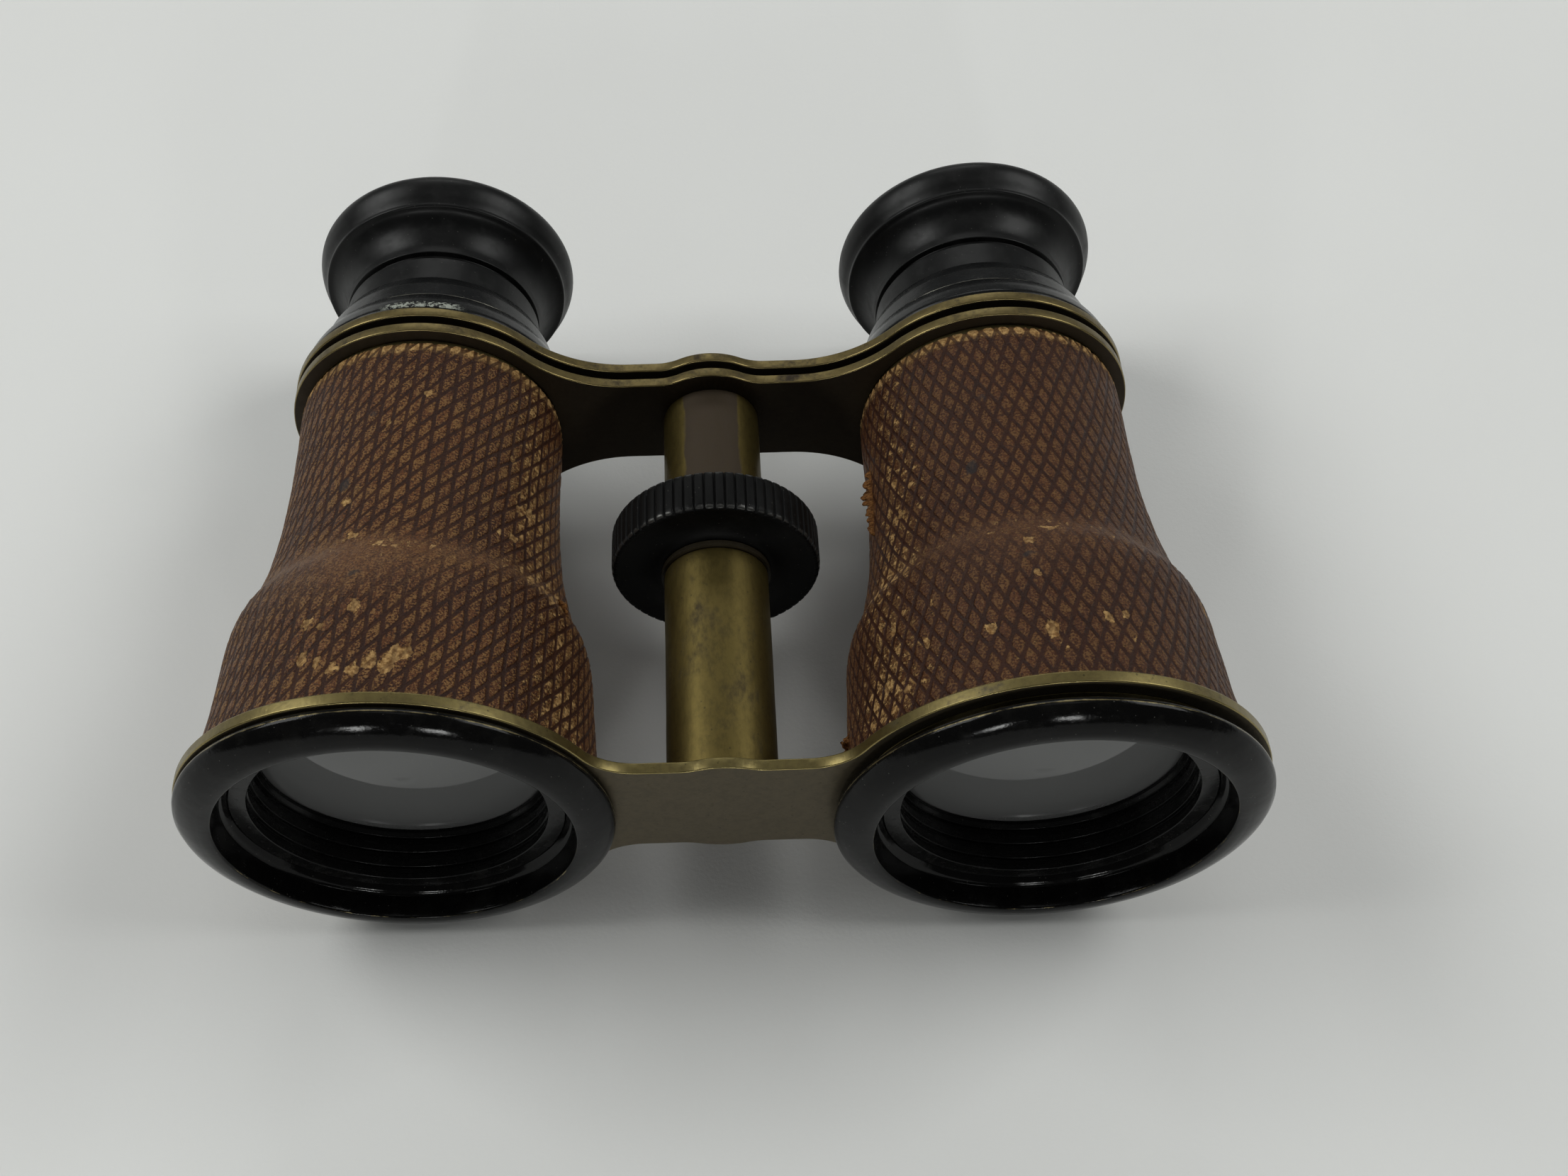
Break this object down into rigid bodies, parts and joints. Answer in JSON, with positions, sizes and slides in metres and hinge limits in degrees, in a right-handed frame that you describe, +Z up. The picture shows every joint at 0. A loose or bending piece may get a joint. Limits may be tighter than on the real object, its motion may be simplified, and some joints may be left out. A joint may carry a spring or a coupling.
{
  "type": "opera glasses",
  "caption": "Vintage opera glasses: leather-covered brass barrels joined by bridges, black bezels and eyecups, and a knurled centre wheel that racks both eyepieces.",
  "frame": {"origin": "on the table, under the centre of the glasses' bounding box as they lie on the front bridge's rings and the eyecup rims", "axes": "+X from one telescope to the other, +Y from the objectives toward the eyepieces, +Z up from the table; the optical axes are parallel to the YZ plane and tip 4.61 degrees down toward the eyepieces, because the front is wider"},
  "size_m": [0.1068, 0.0832, 0.0429],
  "materials": {
    "barrel_brass": "dull patinated",
    "embossed_leather": "worn, embossed with a diamond lattice",
    "bezel_black": "gloss black lacquer",
    "cell_black": "satin black",
    "objective_glass": "polished",
    "inner_glass": "polished",
    "inner_brass": "dull",
    "draw_tube_dark": "satin dark bronze",
    "collar_black": "gloss black lacquer",
    "eyecup_black": "polished black ebonite",
    "eye_glass": "polished",
    "bridge_brass": "patinated",
    "rear_bridge_brass": "dark patina on the face, bright on the edge",
    "moving_bridge_brass": "dark patina on the face, bright on the edge",
    "column_brass": "handled brass",
    "bushing_brass": "dull",
    "wheel_black": "satin black, worn on the ridges",
    "screw_steel": "oiled",
    "cap_brass": "dull"
  },
  "bodies": {
    "frame": {"barrel_left": "barrel_brass", "leather_left": "embossed_leather", "objective_bezel_left": "bezel_black", "objective_cell_left": "cell_black", "objective_crown_left": "objective_glass", "objective_flint_left": "inner_glass", "objective_retainer_left": "inner_brass", "barrel_right": "barrel_brass", "leather_right": "embossed_leather", "objective_bezel_right": "bezel_black", "objective_cell_right": "cell_black", "objective_crown_right": "objective_glass", "objective_flint_right": "inner_glass", "objective_retainer_right": "inner_brass", "front_bridge": "bridge_brass", "rear_bridge": "rear_bridge_brass", "column_front_tube": "column_brass", "column_rear_tube": "column_brass", "front_bushing": "bushing_brass", "rear_bushing": "bushing_brass"},
    "wheel": {"focus_wheel": "wheel_black", "focus_nut": "inner_brass"},
    "eyepieces": {"draw_tube_left": "draw_tube_dark", "draw_tube_right": "draw_tube_dark", "eyepiece_collar_left": "collar_black", "eyepiece_collar_right": "collar_black", "eyecup_left": "eyecup_black", "eyecup_right": "eyecup_black", "eye_lens_left": "eye_glass", "eye_lens_right": "eye_glass", "eye_lens_retainer_left": "inner_brass", "eye_lens_retainer_right": "inner_brass", "eyepiece_bridge": "moving_bridge_brass", "focus_screw": "screw_steel", "screw_stop": "inner_brass", "screw_cap": "cap_brass"}
  },
  "joints": [
    {"name": "focus_turn", "type": "hinge", "parent": "frame", "child": "wheel", "pos_m": [0, -0.005, 0.01892], "axis": [0, -0.9968, 0.0804], "range_deg": [-31, 331]},
    {"name": "eyepiece_slide", "type": "slide", "parent": "frame", "child": "eyepieces", "axis": [0, 0.9968, -0.0804], "range_m": [-0.001, 0.011]}
  ],
  "couplings": [
    {"joint": "focus_turn", "follows": "eyepiece_slide", "rad_per_m": 523.6}
  ]
}
